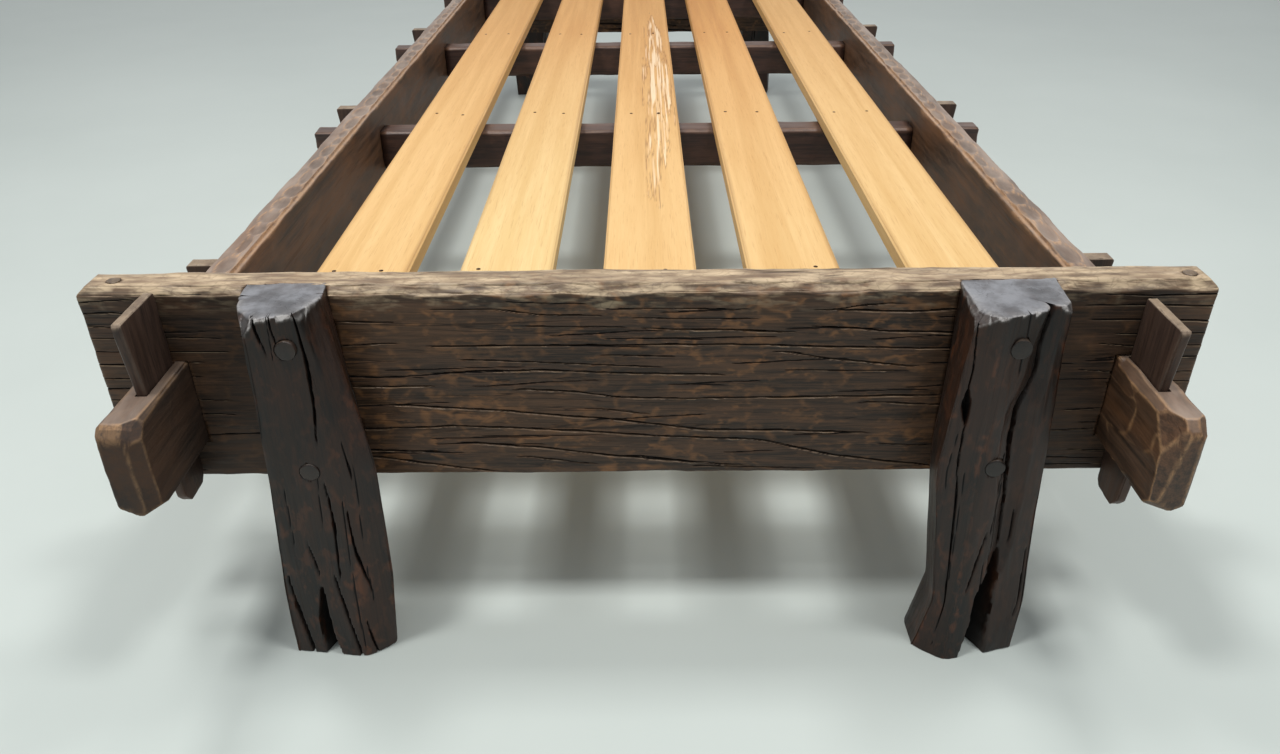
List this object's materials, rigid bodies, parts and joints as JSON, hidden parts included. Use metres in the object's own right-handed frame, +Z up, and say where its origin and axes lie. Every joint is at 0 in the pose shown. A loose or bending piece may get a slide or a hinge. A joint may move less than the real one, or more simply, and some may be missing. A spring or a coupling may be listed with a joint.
{
  "type": "single bed",
  "caption": "Low rustic single bed of rough-hewn dark timber: end boards, side rails and cross bearers locked by wedged through tenons, with pale lengthwise slats for a mattress.",
  "frame": {"origin": "on the floor under the middle of the bed", "axes": "+Y along the bed from foot to head, +X to the right seen from the foot, +Z up"},
  "size_m": [1.027, 2.258, 0.368],
  "materials": {
    "board_wood": "rough-hewn, dark stained, waxed, worn",
    "rail_wood": "rough-hewn, dark stained, worn arrises",
    "leg_wood": "rough-hewn, near black, cracked, waxed",
    "key_wood": "planed, dark stained, waxed",
    "peg_wood": "end grain, dark stained",
    "bearer_wood": "sawn, dark stained",
    "slat_wood": "planed, clear satin varnish",
    "screw_steel": "dull, browned"
  },
  "bodies": {
    "frame": {"foot_board": "board_wood", "head_board": "board_wood", "left_rail": "rail_wood", "right_rail": "rail_wood", "left_foot_leg": "leg_wood", "right_foot_leg": "leg_wood", "left_head_leg": "leg_wood", "right_head_leg": "leg_wood", "left_foot_upper_peg": "peg_wood", "left_foot_lower_peg": "peg_wood", "right_foot_upper_peg": "peg_wood", "right_foot_lower_peg": "peg_wood", "left_head_upper_peg": "peg_wood", "left_head_lower_peg": "peg_wood", "right_head_upper_peg": "peg_wood", "right_head_lower_peg": "peg_wood", "left_foot_end_pin": "peg_wood", "right_foot_end_pin": "peg_wood", "left_head_end_pin": "peg_wood", "right_head_end_pin": "peg_wood", "bearer_1": "bearer_wood", "bearer_2": "bearer_wood", "bearer_3": "bearer_wood", "bearer_4": "bearer_wood", "slat_1": "slat_wood", "slat_2": "slat_wood", "slat_3": "slat_wood", "slat_4": "slat_wood", "slat_5": "slat_wood"},
    "left_foot_rail_key": {"left_foot_rail_key": "key_wood"},
    "right_foot_rail_key": {"right_foot_rail_key": "key_wood"},
    "left_head_rail_key": {"left_head_rail_key": "key_wood"},
    "right_head_rail_key": {"right_head_rail_key": "key_wood"},
    "left_bearer_1_key": {"left_bearer_1_key": "key_wood"},
    "right_bearer_1_key": {"right_bearer_1_key": "key_wood"},
    "left_bearer_2_key": {"left_bearer_2_key": "key_wood"},
    "right_bearer_2_key": {"right_bearer_2_key": "key_wood"},
    "left_bearer_3_key": {"left_bearer_3_key": "key_wood"},
    "right_bearer_3_key": {"right_bearer_3_key": "key_wood"},
    "left_bearer_4_key": {"left_bearer_4_key": "key_wood"},
    "right_bearer_4_key": {"right_bearer_4_key": "key_wood"}
  },
  "joints": [
    {"name": "left_foot_rail_key_lift", "type": "slide", "parent": "frame", "child": "left_foot_rail_key", "axis": [0, 0, 1], "range_m": [0, 0.12]},
    {"name": "right_foot_rail_key_lift", "type": "slide", "parent": "frame", "child": "right_foot_rail_key", "axis": [0, 0, 1], "range_m": [0, 0.132]},
    {"name": "left_head_rail_key_lift", "type": "slide", "parent": "frame", "child": "left_head_rail_key", "axis": [0, 0, 1], "range_m": [0, 0.12]},
    {"name": "right_head_rail_key_lift", "type": "slide", "parent": "frame", "child": "right_head_rail_key", "axis": [0, 0, 1], "range_m": [0, 0.132]},
    {"name": "left_bearer_1_key_lift", "type": "slide", "parent": "frame", "child": "left_bearer_1_key", "axis": [0, 0, 1], "range_m": [0, 0.04]},
    {"name": "right_bearer_1_key_lift", "type": "slide", "parent": "frame", "child": "right_bearer_1_key", "axis": [0, 0, 1], "range_m": [0, 0.04]},
    {"name": "left_bearer_2_key_lift", "type": "slide", "parent": "frame", "child": "left_bearer_2_key", "axis": [0, 0, 1], "range_m": [0, 0.04]},
    {"name": "right_bearer_2_key_lift", "type": "slide", "parent": "frame", "child": "right_bearer_2_key", "axis": [0, 0, 1], "range_m": [0, 0.04]},
    {"name": "left_bearer_3_key_lift", "type": "slide", "parent": "frame", "child": "left_bearer_3_key", "axis": [0, 0, 1], "range_m": [0, 0.04]},
    {"name": "right_bearer_3_key_lift", "type": "slide", "parent": "frame", "child": "right_bearer_3_key", "axis": [0, 0, 1], "range_m": [0, 0.04]},
    {"name": "left_bearer_4_key_lift", "type": "slide", "parent": "frame", "child": "left_bearer_4_key", "axis": [0, 0, 1], "range_m": [0, 0.04]},
    {"name": "right_bearer_4_key_lift", "type": "slide", "parent": "frame", "child": "right_bearer_4_key", "axis": [0, 0, 1], "range_m": [0, 0.04]}
  ]
}
